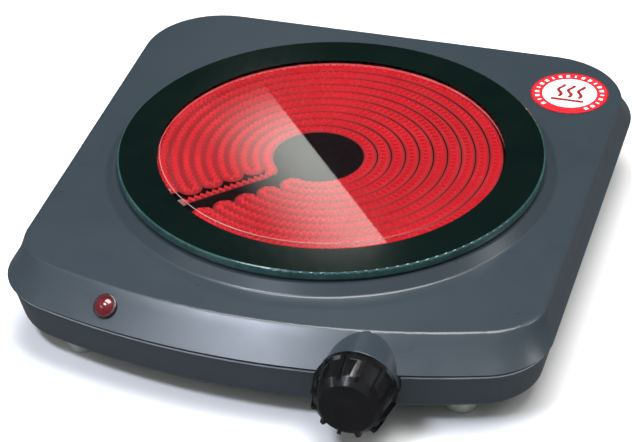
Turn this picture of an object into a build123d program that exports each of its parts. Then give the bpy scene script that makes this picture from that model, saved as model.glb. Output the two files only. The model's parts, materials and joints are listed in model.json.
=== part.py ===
from build123d import *
from math import asin, atan2, cos, degrees, hypot, radians, sin, sqrt
import os

os.makedirs("parts", exist_ok=True)

# A free-standing radiant hot plate with one glass cooking disc.
# Sizes are millimetres.  +X is right, +Y is to the back, +Z is up.
# Every function below works from the centre of the glass disc, at the height of the table;
# save() then moves the piece so that the origin is the middle of the footprint.

# ---------------------------------------------------------------- driving dimensions
KNOB_REACH = 154.5      # disc centre to the knob's front face
REAR_REACH = 133.0      # disc centre to the cord bush's rear face
HOB_Y = (KNOB_REACH - REAR_REACH) / 2

FOOT_H = 9.0
PAN_H = 22.0
COVER_H = 12.5
COLLAR_H = 4.5
SEAL_T = 1.0
GLASS_T = 4.0
GLASS_R = 100.0

PAN_Z = FOOT_H
SEAM_Z = PAN_Z + PAN_H
DECK_Z = SEAM_Z + COVER_H
LAND_Z = DECK_Z + COLLAR_H
GLASS_Z = LAND_Z + SEAL_T

# pressed steel top cover
DECK_HALF_W = 121.0
DECK_BACK = 126.5
DECK_FRONT = -125.0
FRONT_BOW = 24.0        # how far the front edge bows forward between its corners
CORNER_BACK = 38.5
CORNER_FRONT = 30.5
SIDE_FLARE = 4.5        # how far the skirt flares out at the seam
FRONT_SLOPE = 14.0      # how far the control panel leans out at the seam
WALL = 1.2
DECK_EDGE_R = 2.5
COLLAR_R = 105.5
LAND_R = 101.5
COVER_HOLE_R = 89.0

# base pan
SHEET = 1.0
SEAM_GAP = 0.7
SEAM_STEP = 1.2
PAN_TAPER = 4.5
PAN_EDGE_R = 4.0
LIP_TOP = SEAM_Z + 5.0
LIP_GAP = 0.4
FOOT_X = 88.0
FOOT_FRONT_Y = -106.0
FOOT_BACK_Y = 98.0

# knob and its boss
KNOB_X = 49.0
KNOB_Z = DECK_Z - 17.7
BOSS_R = 17.4
BOSS_WALL = 1.6
BOSS_FRONT = -137.0
BOSS_BACK = -116.0
KNOB_BACK = BOSS_FRONT - 1.0
KNOB_DEPTH = KNOB_REACH + KNOB_BACK
SPINDLE_R = 3.0
RUNNING = 0.05

# energy regulator
REG_W = 30.0
REG_DOWN = 13.0
REG_UP = 15.0
REG_DEPTH = 24.0
REG_WALL = 2.0
PLATE_T = 1.5
REG_FRONT = BOSS_BACK + 0.4 + PLATE_T   # front face of the housing
CAM_FRONT = 5.0         # the cam's front face, behind the housing's front face
CAM_T = 5.0
CAM_R = 6.6             # cam radius under the lever's nose at rest
NOSE_R = 1.2
LEVER_X = -9.5          # lever pivot, from the spindle's axis
LEVER_Z = 9.8
KNOB_SWEEP = 140.0      # degrees each way from the knob's middle setting
LEVER_RATIO = 0.0475    # lever turn for one unit of knob turn, the opposite way

# radiant heater
DISH_R = 87.0
DISH_T = 0.8
DISH_RIM_Z = GLASS_Z - 0.9
BOARD_Z = GLASS_Z - 4.0     # top of the insulating board
BOARD_T = 14.0
RIM_R = 81.6
RIBBON_W = 3.2
RIBBON_H = 3.0
RING_COUNT = 10
RING_OUTER_R = 78.0
RING_INNER_R = 24.2
RING_OUTER_AT = (-1.0, 1.2)     # centre of the outermost ring
RING_INNER_AT = (-5.5, -2.2)    # centre of the innermost ring, nearer the leads
GAP_ANGLE = -135.0              # direction of the channel that the leads run in
GAP_LEFT = -9.0                 # where the rings stop, across the channel
GAP_RIGHT = 13.0
BEND_R = 6.0                    # bend from the innermost ring into its lead
LEAD_ACROSS = (-11.5, 0.0)      # the two leads, across the channel
BLOCK_IN = DISH_R + 0.5
BLOCK_OUT = BLOCK_IN + 10.5
CUTOUT_X = 22.0
CUTOUT_Y = -12.0

# pilot lamp
LAMP_X = -68.7
LAMP_DROP = 6.2         # below the deck
LAMP_HOLE_R = 5.1
LAMP_LIFT = 0.25        # gasket gap between the flange and the panel

# mains entry
INLET_X = 72.0
INLET_Z = PAN_Z + 11.8
INLET_HOLE_R = 7.6
CORD_R = 4.0
BLOCK_X = 52.0
BLOCK_Y = 100.0
WIRE_R = 1.3

# round label
LABEL_X = 95.0
LABEL_Y = 92.0
LABEL_R = 19.0


# ---------------------------------------------------------------- small helpers
def save(name, shape):
    export_step(Pos(0, HOB_Y, 0) * shape, f"parts/{name}.step")


def tube(outer, inner, height):
    return extrude(Circle(outer) - Circle(inner), height)


def rod_y(radius, y_front, y_back, x=KNOB_X, z=KNOB_Z):
    """Round bar along Y."""
    length = y_back - y_front
    return Pos(x, y_front, z) * Rot(-90, 0, 0) * extrude(Circle(radius), length)


def block(x0, x1, y0, y1, z0, z1):
    """Box between two opposite corners."""
    return Pos((x0 + x1) / 2, (y0 + y1) / 2, (z0 + z1) / 2) * Box(x1 - x0, y1 - y0, z1 - z0)


def group(solids):
    return Compound(children=list(solids))


def channel_frame(along, across, z=0.0):
    """Location in the leads' channel: along it from the centre, and across it."""
    angle = radians(GAP_ANGLE)
    x = along * cos(angle) - across * sin(angle)
    y = along * sin(angle) + across * cos(angle)
    return Pos(x, y, z) * Rot(0, 0, GAP_ANGLE)


def channel_box(along0, along1, across0, across1, z0, z1):
    return Rot(0, 0, GAP_ANGLE) * block(along0, along1, across0, across1, z0, z1)


def foot_places():
    return [(x, y) for x in (-FOOT_X, FOOT_X) for y in (FOOT_FRONT_Y, FOOT_BACK_Y)]


# ---------------------------------------------------------------- plan outlines
def outline(z, half_w, back, front, r_back, r_front):
    """Rounded outline with straight back and sides and a bowed front edge."""
    corner_y = front + FRONT_BOW
    bow = ThreePointArc((-half_w, corner_y), (0, front), (half_w, corner_y))
    sides = Polyline((half_w, corner_y), (half_w, back), (-half_w, back), (-half_w, corner_y))
    face = make_face([bow, *sides.edges()])
    face = fillet(face.vertices().group_by(Axis.Y)[-1], r_back)
    front_corners = face.vertices().filter_by(lambda v: abs(v.Y - corner_y) < 1)
    return Pos(0, 0, z) * fillet(front_corners, r_front)


def cover_section(z, inset):
    drop = (DECK_Z - z) / COVER_H
    flare = SIDE_FLARE * drop**2.2
    return outline(
        z,
        DECK_HALF_W + flare - inset,
        DECK_BACK + flare - inset,
        DECK_FRONT - FRONT_SLOPE * drop + 1.15 * inset,
        CORNER_BACK + flare / 2 - inset,
        CORNER_FRONT + flare / 2 - inset,
    )


def pan_section(z, inset):
    taper = SEAM_STEP + PAN_TAPER * (SEAM_Z - z) / PAN_H
    return outline(
        z,
        DECK_HALF_W + SIDE_FLARE - taper - inset,
        DECK_BACK + SIDE_FLARE - SEAM_STEP - inset,
        DECK_FRONT - FRONT_SLOPE + taper + inset,
        CORNER_BACK - inset,
        CORNER_FRONT - inset,
    )


# ---------------------------------------------------------------- enclosure
def cover_form(inset, bottom_z):
    """Solid form of the cover: inset 0 is its outside, inset WALL its inside."""
    top_z = DECK_Z - inset
    steps = (0.0, 0.35, 0.65, 0.85, 1.0)
    body = loft([cover_section(top_z + t * (bottom_z - top_z), inset) for t in steps])
    deck_edges = body.edges().group_by(Axis.Z)[-1]
    body = fillet(deck_edges, DECK_EDGE_R - inset)
    collar = Pos(0, 0, top_z) * Cone(
        COLLAR_R - inset, LAND_R - inset, COLLAR_H, align=(Align.CENTER, Align.CENTER, Align.MIN)
    )
    form = body + collar
    foot = [e for e in form.edges().filter_by(GeomType.CIRCLE)
            if abs(e.radius - COLLAR_R + inset) < 0.01 and abs(e.center().Z - top_z) < 0.01]
    return fillet(foot, 2.0)


def panel_plane():
    """Plane on the sloping control panel at the pilot lamp, its Z pointing out."""
    z = DECK_Z - LAMP_DROP
    front = DECK_FRONT - FRONT_SLOPE * LAMP_DROP / COVER_H
    half_w = DECK_HALF_W
    bow_r = (half_w**2 + FRONT_BOW**2) / (2 * FRONT_BOW)
    y = front + bow_r - sqrt(bow_r**2 - LAMP_X**2)
    turn = asin(LAMP_X / bow_r)
    lean = atan2(FRONT_SLOPE, COVER_H)
    normal = (sin(turn) * cos(lean), -cos(turn) * cos(lean), sin(lean))
    return Plane(origin=(LAMP_X, y, z), x_dir=(cos(turn), sin(turn), 0), z_dir=normal)


def make_boss():
    """Round cup that the knob turns against, open to the inside of the cover."""
    boss = rod_y(BOSS_R, BOSS_FRONT, BOSS_BACK)
    boss = fillet(boss.edges().group_by(Axis.Y)[0], 1.0)
    boss -= rod_y(BOSS_R - BOSS_WALL, BOSS_FRONT + BOSS_WALL, BOSS_BACK + 1)
    boss -= rod_y(SPINDLE_R + 1, BOSS_FRONT - 1, BOSS_FRONT + 3)
    for side in (-1, 1):
        boss -= rod_y(1.7, BOSS_FRONT - 1, BOSS_FRONT + 3, KNOB_X + 10 * side)
    return boss


def make_top_cover():
    shell = cover_form(0, SEAM_Z) - cover_form(WALL, SEAM_Z - 1)
    shell -= rod_y(BOSS_R - BOSS_WALL / 2, BOSS_FRONT - 5, BOSS_BACK)
    shell += make_boss()
    shell -= Pos(0, 0, DECK_Z - 10) * extrude(Circle(COVER_HOLE_R), 20)
    shell -= panel_plane().location * Pos(0, 0, -6) * extrude(Circle(LAMP_HOLE_R), 12)
    return shell


def make_standoffs():
    """Pillars welded under the deck, which the foot screws draw the pan up to."""
    floor_z = PAN_Z + SHEET
    height = DECK_Z - WALL - floor_z
    pillar = extrude(RegularPolygon(4.5, 6, major_radius=False) - Circle(2.1), height)
    return group(Pos(x, y, floor_z) * pillar for x, y in foot_places())


def pan_vents():
    """Slots in the floor under the heater, and a row in the rear wall."""
    floor_slot = extrude(SlotOverall(36, 3), 4)
    for y in (-40, 40):
        for i in range(-4, 5):
            yield Pos(12 * i, y, PAN_Z - 1) * Rot(0, 0, 90) * floor_slot
    wall_slot = Rot(-90, 0, 0) * extrude(SlotOverall(10, 3, rotation=90), 8)
    for i in range(8):
        yield Pos(-88 + 9 * i, DECK_BACK - 2, PAN_Z + 11) * wall_slot


def make_base_pan():
    rim_z = SEAM_Z - SEAM_GAP
    shelf_z = rim_z - SHEET
    floor_z = PAN_Z + SHEET
    body = loft([pan_section(rim_z, 0), pan_section(PAN_Z, 0)])
    body = fillet(body.edges().group_by(Axis.Z)[0], PAN_EDGE_R)
    hollow = loft([pan_section(shelf_z, SHEET), pan_section(floor_z, SHEET)])
    hollow = fillet(hollow.edges().group_by(Axis.Z)[0], PAN_EDGE_R - SHEET)
    lip_form = cover_section(LIP_TOP, WALL + LIP_GAP)
    lip_bore = cover_section(LIP_TOP, WALL + LIP_GAP + SHEET)
    drop = LIP_TOP - shelf_z + 0.5
    pan = body - hollow
    pan += extrude(lip_form, -(LIP_TOP - shelf_z))
    pan -= extrude(lip_bore, -drop)
    pan -= rod_y(BOSS_R + 0.4, BOSS_FRONT - 10, BOSS_BACK + 0.4)
    pan -= panel_plane().location * Pos(0, 0, -30) * extrude(Circle(7.4), 32)
    for x, y in foot_places():
        pan -= Pos(x, y, PAN_Z - 1) * extrude(Circle(2.2), 4)
    for angle in support_angles():
        x, y = support_point(angle)
        pan -= Pos(x, y, PAN_Z - 1) * extrude(Circle(1.6), 4)
    for x in (BLOCK_X - 6, BLOCK_X + 6):
        pan -= Pos(x, BLOCK_Y, PAN_Z - 1) * extrude(Circle(1.5), 4)
    pan -= Pos(*earth_place(), PAN_Z - 1) * extrude(Circle(2.0), 4)
    pan -= rod_y(INLET_HOLE_R, DECK_BACK - 5, DECK_BACK + 10, INLET_X, INLET_Z)
    for slot in pan_vents():
        pan -= slot
    return pan


def make_feet():
    foot = Cone(7.2, 8.2, FOOT_H, align=(Align.CENTER, Align.CENTER, Align.MIN))
    foot = fillet(foot.edges().group_by(Axis.Z)[0], 0.8)
    foot -= extrude(Circle(4.2), 4.5)
    foot -= extrude(Circle(2.2), FOOT_H)
    return group(Pos(x, y, 0) * foot for x, y in foot_places())


def make_foot_screws():
    head = Pos(0, 0, 2.1) * extrude(Circle(3.6), 2.4)
    head = fillet(head.edges().group_by(Axis.Z)[0], 0.9)
    head -= Pos(0, 0, 1.5) * (extrude(Rectangle(3.6, 0.9), 1.8) + extrude(Rectangle(0.9, 3.6), 1.8))
    screw = head + Pos(0, 0, 4.5) * extrude(Circle(2.0), 16)
    return group(Pos(x, y, 0) * screw for x, y in foot_places())


# ---------------------------------------------------------------- glass top
def make_glass_disc():
    disc = Pos(0, 0, GLASS_Z) * extrude(Circle(GLASS_R), GLASS_T)
    disc = fillet(disc.edges().group_by(Axis.Z)[-1], 1.0)
    return chamfer(disc.edges().group_by(Axis.Z)[0], 0.5)


def make_glass_seal():
    return Pos(0, 0, LAND_Z) * tube(GLASS_R - 0.7, COVER_HOLE_R + 1, SEAL_T)


# ---------------------------------------------------------------- radiant heater
def lead_slots(clearance):
    """Openings for the two leads through the heater's rim."""
    for across in LEAD_ACROSS:
        half = 2.5 + clearance
        yield channel_box(70, DISH_R + 2, across - half, across + half,
                          BOARD_Z + 0.1 - clearance, BOARD_Z + 0.9 + clearance)


def make_heater_dish():
    floor_z = BOARD_Z - BOARD_T
    dish = Pos(0, 0, floor_z - DISH_T) * extrude(Circle(DISH_R), DISH_RIM_Z - floor_z + DISH_T)
    dish = fillet(dish.edges().group_by(Axis.Z)[0], 2.0)
    well = Pos(0, 0, floor_z) * extrude(Circle(DISH_R - DISH_T), 30)
    dish -= fillet(well.edges().group_by(Axis.Z)[0], 1.2)
    for slot in lead_slots(0.4):
        dish -= slot
    return dish


def make_insulation_board():
    board = Pos(0, 0, BOARD_Z - BOARD_T) * extrude(Circle(DISH_R - DISH_T - 0.1), BOARD_T)
    return chamfer(board.edges().group_by(Axis.Z)[0], 1.4)


def make_insulation_rim():
    rim = Pos(0, 0, BOARD_Z) * tube(DISH_R - DISH_T - 0.1, RIM_R, GLASS_Z - BOARD_Z)
    for slot in lead_slots(0.3):
        rim -= slot
    return rim


def ring(i):
    """Centre and radius of one turn of the ribbon, turn 0 being the outermost."""
    part = i / (RING_COUNT - 1)
    x = RING_OUTER_AT[0] + part * (RING_INNER_AT[0] - RING_OUTER_AT[0])
    y = RING_OUTER_AT[1] + part * (RING_INNER_AT[1] - RING_OUTER_AT[1])
    return x, y, RING_OUTER_R + part * (RING_INNER_R - RING_OUTER_R)


def across_channel(x, y):
    angle = radians(GAP_ANGLE)
    return -x * sin(angle) + y * cos(angle)


def along_channel(x, y):
    angle = radians(GAP_ANGLE)
    return x * cos(angle) + y * sin(angle)


def ring_end(i, across):
    """Angle at which turn i meets the line that lies across from the channel's centre line."""
    x, y, r = ring(i)
    return GAP_ANGLE + degrees(asin((across - across_channel(x, y)) / r))


def ring_end_along(i, across):
    x, y, r = ring(i)
    return along_channel(x, y) + sqrt(r**2 - (across - across_channel(x, y)) ** 2)


def arc_strip(x, y, r, start, size):
    """Piece of ribbon along an arc, seen in plan."""
    outer = CenterArc((x, y), r + RIBBON_W / 2, start, size)
    inner = CenterArc((x, y), r - RIBBON_W / 2, start, size)
    return make_face([outer, Line(outer @ 1, inner @ 1), inner, Line(inner @ 0, outer @ 0)])


def hairpin(i, across):
    """Half turn that joins turn i to the next one inside it."""
    outer = ring_end_along(i, across)
    inner = ring_end_along(i + 1, across)
    place = channel_frame((outer + inner) / 2, across)
    start = -90 if across < 0 else 90
    return place * Rot(0, 0, 90) * arc_strip(0, 0, (outer - inner) / 2, start, 180)


def lead_bend():
    """Bend from the innermost ring into its lead: the arc's centre, its start and its size."""
    x, y, r = ring(RING_COUNT - 1)
    across = LEAD_ACROSS[1] - BEND_R
    along = along_channel(x, y) + sqrt((r + BEND_R) ** 2 - (across - across_channel(x, y)) ** 2)
    centre = channel_frame(along, across).position
    start = degrees(atan2(y - centre.Y, x - centre.X))
    end = GAP_ANGLE + 90
    return centre, start, (end - start + 180) % 360 - 180, along


def make_heating_ribbon():
    strips = []
    last = RING_COUNT - 1
    centre, bend_start, bend_size, bend_along = lead_bend()
    for i in range(RING_COUNT):
        x, y, r = ring(i)
        start = ring_end(i, GAP_RIGHT) - 0.5
        end = ring_end(i, GAP_LEFT) + 0.5
        if i == last:
            end = degrees(atan2(centre.Y - y, centre.X - x))
        strips.append(arc_strip(x, y, r, start, (end - start) % 360))
    for i in range(0, last, 2):
        strips.append(hairpin(i, GAP_RIGHT))
        if i + 2 <= last:
            strips.append(hairpin(i + 1, GAP_LEFT))
    strips.append(arc_strip(centre.X, centre.Y, BEND_R, bend_start, bend_size))
    half = RIBBON_W / 2
    ribbon = channel_box(bend_along, 78.5, LEAD_ACROSS[1] - half, LEAD_ACROSS[1] + half,
                         BOARD_Z, BOARD_Z + RIBBON_H)
    for strip in strips:
        ribbon += Pos(0, 0, BOARD_Z) * extrude(strip, RIBBON_H, dir=(0, 0, 1))
    return ribbon


def make_heater_terminals():
    """Two welded lead strips, each bent down into a push-on tab outside the heater."""
    tabs = []
    for across in LEAD_ACROSS:
        sides = (across - 2.5, across + 2.5)
        strip = channel_box(77.0, BLOCK_OUT + 0.9, *sides, BOARD_Z + 0.1, BOARD_Z + 0.9)
        strip += channel_box(BLOCK_OUT + 0.1, BLOCK_OUT + 0.9, *sides, BOARD_Z - 17, BOARD_Z + 0.9)
        tabs.append(strip)
    return group(tabs)


def make_heater_terminal_block():
    middle = sum(LEAD_ACROSS) / 2
    body = channel_box(BLOCK_IN, BLOCK_OUT, middle - 9.5, middle + 9.5, BOARD_Z - 9.5, BOARD_Z + 1.6)
    body -= Pos(0, 0, BOARD_Z - 20) * extrude(Circle(DISH_R + 0.1), 30)
    for across in LEAD_ACROSS:
        body -= channel_box(BLOCK_IN - 5, BLOCK_OUT + 1, across - 2.6, across + 2.6,
                            BOARD_Z, BOARD_Z + 1.0)
    upright = body.edges().filter_by(Axis.Z).group_by(SortBy.DISTANCE)[-1]
    return fillet(upright, 0.8)


def support_angles():
    return (90, 210, 330)


def support_point(angle):
    """Where a support bracket is riveted to the floor."""
    return 76 * cos(radians(angle)), 76 * sin(radians(angle))


def make_heater_supports():
    """Sprung brackets that press the heater up against the glass."""
    floor_z = PAN_Z + SHEET
    under_z = BOARD_Z - BOARD_T - DISH_T
    bracket = block(69.2, 83, -6, 6, floor_z, floor_z + 0.8)
    bracket += block(69.2, 70, -6, 6, floor_z, under_z)
    bracket += block(57, 70, -6, 6, under_z - 0.8, under_z)
    bracket -= Pos(76, 0, floor_z - 1) * extrude(Circle(1.6), 3)
    return group(Rot(0, 0, angle) * bracket for angle in support_angles())


def make_support_rivets():
    head = extrude(Circle(3.2), 0.8)
    rivet = Pos(0, 0, PAN_Z - 0.8) * head + Pos(0, 0, PAN_Z + SHEET + 0.8) * head
    rivet += Pos(0, 0, PAN_Z - 0.4) * extrude(Circle(1.55), SHEET + 1.6)
    return group(Pos(*support_point(angle), 0) * rivet for angle in support_angles())


def make_thermal_cutout():
    """Snap-disc cut-out held against the underside of the heater."""
    under_z = BOARD_Z - BOARD_T - DISH_T
    body = Pos(CUTOUT_X, CUTOUT_Y, under_z - 9) * extrude(Circle(8), 9)
    body = fillet(body.edges().group_by(Axis.Z)[0], 1.0)
    ears = Pos(CUTOUT_X, CUTOUT_Y, under_z - 0.8) * extrude(SlotOverall(30, 9, rotation=90), 0.8)
    return body + ears


def make_cutout_terminals():
    z = BOARD_Z - BOARD_T - DISH_T - 9.8
    tab = block(CUTOUT_X + 3, CUTOUT_X + 17, CUTOUT_Y - 3.15, CUTOUT_Y + 3.15, z, z + 0.8)
    other = block(CUTOUT_X - 17, CUTOUT_X - 3, CUTOUT_Y - 3.15, CUTOUT_Y + 3.15, z, z + 0.8)
    return group([tab, other])


# ---------------------------------------------------------------- energy regulator
def reg_box(x0, x1, y0, y1, z0, z1):
    """Box placed from the spindle's axis and the housing's front face."""
    return block(KNOB_X + x0, KNOB_X + x1, REG_FRONT + y0, REG_FRONT + y1, KNOB_Z + z0, KNOB_Z + z1)


def reg_profile(face, y0, depth):
    """Flat profile drawn as seen from the front, given its depth to the back."""
    return Pos(KNOB_X, REG_FRONT + y0, KNOB_Z) * Rot(90, 0, 0) * extrude(face, -depth)


def make_regulator_housing():
    half = REG_W / 2
    body = reg_box(-half, half, 0, REG_DEPTH, -REG_DOWN, REG_UP)
    body = fillet(body.edges().filter_by(Axis.Y), 1.5)
    inner = half - REG_WALL
    body -= reg_box(-inner, inner, -1, REG_DEPTH - REG_WALL, -REG_DOWN + REG_WALL, REG_UP - REG_WALL)
    body -= rod_y(SPINDLE_R + RUNNING, REG_FRONT + 15, REG_FRONT + REG_DEPTH - 0.8)
    for x0, z0 in terminal_places():
        body -= reg_box(x0 - 0.05, x0 + 6.35, 15, REG_DEPTH + 1, z0 - 0.05, z0 + 0.85)
    return body


def make_regulator_bracket():
    """Folded bracket: a plate over the housing, two legs, and a disc behind the boss's front."""
    half = REG_W / 2
    plate = reg_box(-half - 0.8, half + 0.8, -PLATE_T, 0, -REG_DOWN, REG_UP)
    for side in (-1, 1):
        x0, x1 = sorted((side * half, side * (half + 0.8)))
        plate += reg_box(x0, x1, -PLATE_T, 7, -5, 5)
        z0, z1 = sorted((side * 10, side * 11.5))
        front = BOSS_FRONT + BOSS_WALL - REG_FRONT
        plate += reg_box(-5, 5, front, 0, z0, z1)
    disc = rod_y(14.5, BOSS_FRONT + BOSS_WALL, BOSS_FRONT + BOSS_WALL + PLATE_T)
    for side in (-1, 1):
        disc -= rod_y(1.45, BOSS_FRONT, BOSS_FRONT + 5, KNOB_X + 10 * side)
    disc -= rod_y(SPINDLE_R + 0.6, BOSS_FRONT, BOSS_FRONT + 5)
    plate += disc
    return plate - rod_y(SPINDLE_R + RUNNING, REG_FRONT - PLATE_T - 1, REG_FRONT + 1)


def make_bracket_screws():
    screws = []
    for side in (-1, 1):
        x = KNOB_X + 10 * side
        head = rod_y(2.8, BOSS_FRONT - 1.8, BOSS_FRONT, x)
        head = fillet(head.edges().group_by(Axis.Y)[0], 0.8)
        screws.append(head + rod_y(1.4, BOSS_FRONT - 0.5, BOSS_FRONT + 6, x))
    return group(screws)


def lever_turn(knob_turn):
    return -LEVER_RATIO * knob_turn


def turned(x, z, angle):
    """Point turned about the Y axis, clockwise as seen from the front."""
    return x * cos(angle) + z * sin(angle), -x * sin(angle) + z * cos(angle)


def nose_in_cam(knob_turn):
    """Centre of the lever's nose, seen by the cam when the knob has turned."""
    nose_z = CAM_R + NOSE_R
    dx, dz = turned(-LEVER_X, nose_z - LEVER_Z, lever_turn(knob_turn))
    return turned(LEVER_X + dx, LEVER_Z + dz, -knob_turn)


def cam_point(knob_turn):
    """Point of the cam's edge under the nose, with a working clearance."""
    step = 0.001
    x0, z0 = nose_in_cam(knob_turn - step)
    x1, z1 = nose_in_cam(knob_turn + step)
    x, z = nose_in_cam(knob_turn)
    run = hypot(x1 - x0, z1 - z0)
    nx, nz = (z1 - z0) / run, -(x1 - x0) / run
    if nx * x + nz * z > 0:
        nx, nz = -nx, -nz
    gap = NOSE_R + RUNNING
    return x + gap * nx, z + gap * nz


def cam_face():
    """Snail cam that lifts the lever evenly over the knob's whole sweep."""
    count = 29
    turns = [radians(KNOB_SWEEP + 4) * (2 * i / (count - 1) - 1) for i in range(count)]
    edge = Spline(*[cam_point(turn) for turn in turns])
    return make_face([edge, Line(edge @ 1, edge @ 0)])


def make_snail_cam():
    cam = reg_profile(cam_face(), CAM_FRONT, CAM_T)
    cam += rod_y(4.6, REG_FRONT + CAM_FRONT - 2, REG_FRONT + CAM_FRONT + CAM_T + 2)
    return cam - rod_y(SPINDLE_R, REG_FRONT, REG_FRONT + 20)


def make_control_spindle():
    spindle = rod_y(SPINDLE_R, KNOB_BACK - 13, REG_FRONT + REG_DEPTH - 0.9)
    flat = block(KNOB_X + 2.2, KNOB_X + 5, KNOB_BACK - 14, KNOB_BACK - 1, KNOB_Z - 5, KNOB_Z + 5)
    spindle -= flat
    groove_y = REG_FRONT + 1.5
    groove = rod_y(5, groove_y, groove_y + 0.9) - rod_y(2.3, groove_y - 1, groove_y + 2)
    return spindle - groove


def make_spindle_clip():
    """Open ring in the spindle's groove, behind the bracket plate."""
    y = REG_FRONT + 1.6
    clip = rod_y(4.6, y, y + 0.7) - rod_y(2.35, y - 1, y + 2)
    return clip - reg_box(-1.7, 1.7, 0, 4, -6, 0)


def make_follower_lever():
    nose_z = CAM_R + NOSE_R
    arm = Polyline((LEVER_X, LEVER_Z + 1.2), (8, 10.4), (8, 8.8), (2, 8.8), (1, nose_z),
                   (-1, nose_z), (-2.2, 8.6), (LEVER_X, LEVER_Z - 1.2), close=True)
    face = make_face(arm) + Pos(0, nose_z) * Circle(NOSE_R) + Pos(LEVER_X, LEVER_Z) * Circle(2.7)
    lever = reg_profile(face, CAM_FRONT + 0.2, CAM_T - 0.4)
    return lever - rod_y(1.5 + RUNNING, REG_FRONT, REG_FRONT + 20, KNOB_X + LEVER_X, KNOB_Z + LEVER_Z)


def make_bimetal_strip():
    """Heater-wound bimetal carried by the lever."""
    back = CAM_FRONT + CAM_T - 0.2
    strip = reg_box(-6, 7, back, back + 4.5, 9.0, 9.7)
    winding = [reg_box(x, x + 0.8, back + 0.3, back + 4.9, 8.6, 10.1) for x in (-3, -1, 1, 3)]
    for turn in winding:
        strip += turn
    return strip


def make_lever_pin():
    return rod_y(1.5, REG_FRONT + 1.5, REG_FRONT + REG_DEPTH - REG_WALL, KNOB_X + LEVER_X, KNOB_Z + LEVER_Z)


def terminal_places():
    """Lower left corner of each push-on tab, as seen from the front."""
    return ((-12.3, -9.2), (4.9, -6.0))


def make_regulator_terminals():
    tabs = []
    for x0, z0 in terminal_places():
        tabs.append(reg_box(x0, x0 + 6.3, 14.5, REG_DEPTH + 8, z0, z0 + 0.8))
    return group(tabs)


def make_contact_blade():
    blade = reg_box(-12.3, 9.5, 15, 19, -8.4, -8.0)
    return blade - reg_box(-4, 5, 16.2, 17.8, -9, -7)


def make_contact_points():
    pair = []
    for z0 in (-8.0, -7.0):
        point = Pos(KNOB_X + 7.5, REG_FRONT + 17, KNOB_Z + z0) * extrude(Circle(1.6), 1.0)
        pair.append(point)
    return group(pair)


# ---------------------------------------------------------------- knob
def make_control_knob():
    """Skirted knob with grip ribs, hollow behind, with a bored hub for the spindle."""
    outer = Polyline((0, 0), (18.6, 0), (18.6, 2.4), (17.2, 3.4), (15.4, 13.2), (12.4, KNOB_DEPTH),
                     (0, KNOB_DEPTH), close=True)
    body = revolve(Plane.XZ * make_face(outer), Axis.Z)
    body -= Pos(0, 0, KNOB_DEPTH + 26.6) * Sphere(27.4)
    hollow = Polyline((5.2, -1), (16.6, -1), (16.6, 2), (13.2, 11), (5.2, 12), close=True)
    body -= revolve(Plane.XZ * make_face(hollow), Axis.Z)
    rib = make_face(Polyline((14.2, 2), (18.9, 2), (18.7, 4), (16.9, 13.8), (14.2, 14.6), close=True))
    rib = Plane.XZ * rib
    rib = extrude(rib, 0.9, both=True)
    for i in range(12):
        body += Rot(0, 0, 15 + 30 * i) * rib
    pointer = make_face(Polyline((-1.7, 3.6), (1.7, 3.6), (0, 12.6), close=True))
    body += Pos(0, 17.4, 0) * (Plane.XZ * extrude(pointer, 2.6))
    body -= Pos(0, 0, -1) * extrude(Circle(SPINDLE_R + 0.02), 14.3)
    body += block(2.9, 4.5, -3, 3, 1, 12.5)
    return Pos(KNOB_X, KNOB_BACK, KNOB_Z) * Rot(90, 0, 0) * body


def make_knob_clip():
    """Leaf that takes up the play between the spindle's flat and the hub."""
    return block(KNOB_X + 2.25, KNOB_X + 2.85, KNOB_BACK - 11.5, KNOB_BACK - 1.5, KNOB_Z - 0.7, KNOB_Z + 0.7)


# ---------------------------------------------------------------- pilot lamp
def make_lamp_bezel():
    body = Pos(0, 0, LAMP_LIFT) * extrude(Circle(5.6), 1.3)
    body = fillet(body.edges().group_by(Axis.Z)[-1], 0.6)
    body += Pos(0, 0, -20) * extrude(Circle(4.9), 20 + LAMP_LIFT)
    body -= Pos(0, 0, -18.8) * extrude(Circle(4.2), 25)
    for x in (-1.8, 1.8):
        body -= Pos(x, 0, -21) * extrude(Circle(0.9), 4)
    return panel_plane().location * body


def make_lamp_lens():
    barrel = Pos(0, 0, -3) * extrude(Circle(4.15), 4.6)
    dome = Pos(0, 0, -2.1) * Sphere(5.55) & Pos(0, 0, 1.6) * extrude(Circle(4.15), 6)
    lens = barrel + dome
    lens -= Pos(0, 0, -3.5) * extrude(Circle(3.2), 4)
    return panel_plane().location * lens


def make_lamp_nut():
    nut = Pos(0, 0, -3.6) * (extrude(Circle(6.6), 0.5) - extrude(Circle(4.95), 0.5))
    nut += Pos(0, 0, -3.1) * (extrude(Circle(6.6), 1.1) - extrude(Circle(6.0), 1.1))
    return panel_plane().location * nut


def make_neon_bulb():
    bulb = Pos(0, 0, -16) * extrude(Circle(2.6), 9)
    bulb += Pos(0, 0, -7) * Sphere(2.6)
    return panel_plane().location * bulb


# ---------------------------------------------------------------- mains entry
def make_cord_bush():
    wall_out = DECK_BACK + SIDE_FLARE - SEAM_STEP
    wall_in = wall_out - SHEET
    bush = rod_y(7.5, wall_in - 2.5, REAR_REACH, INLET_X, INLET_Z)
    bush += rod_y(9.0, wall_out + 0.1, REAR_REACH, INLET_X, INLET_Z)
    bush += rod_y(8.3, wall_in - 2.5, wall_in - 0.1, INLET_X, INLET_Z)
    outer = [e for e in bush.edges().group_by(Axis.Y)[-1] if e.radius > 8.8]
    bush = fillet(outer, 1.2)
    return bush - rod_y(CORD_R, wall_in - 5, REAR_REACH + 2, INLET_X, INLET_Z)


def way_places():
    return [BLOCK_X + 12 * i for i in (-1, 0, 1)]


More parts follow.
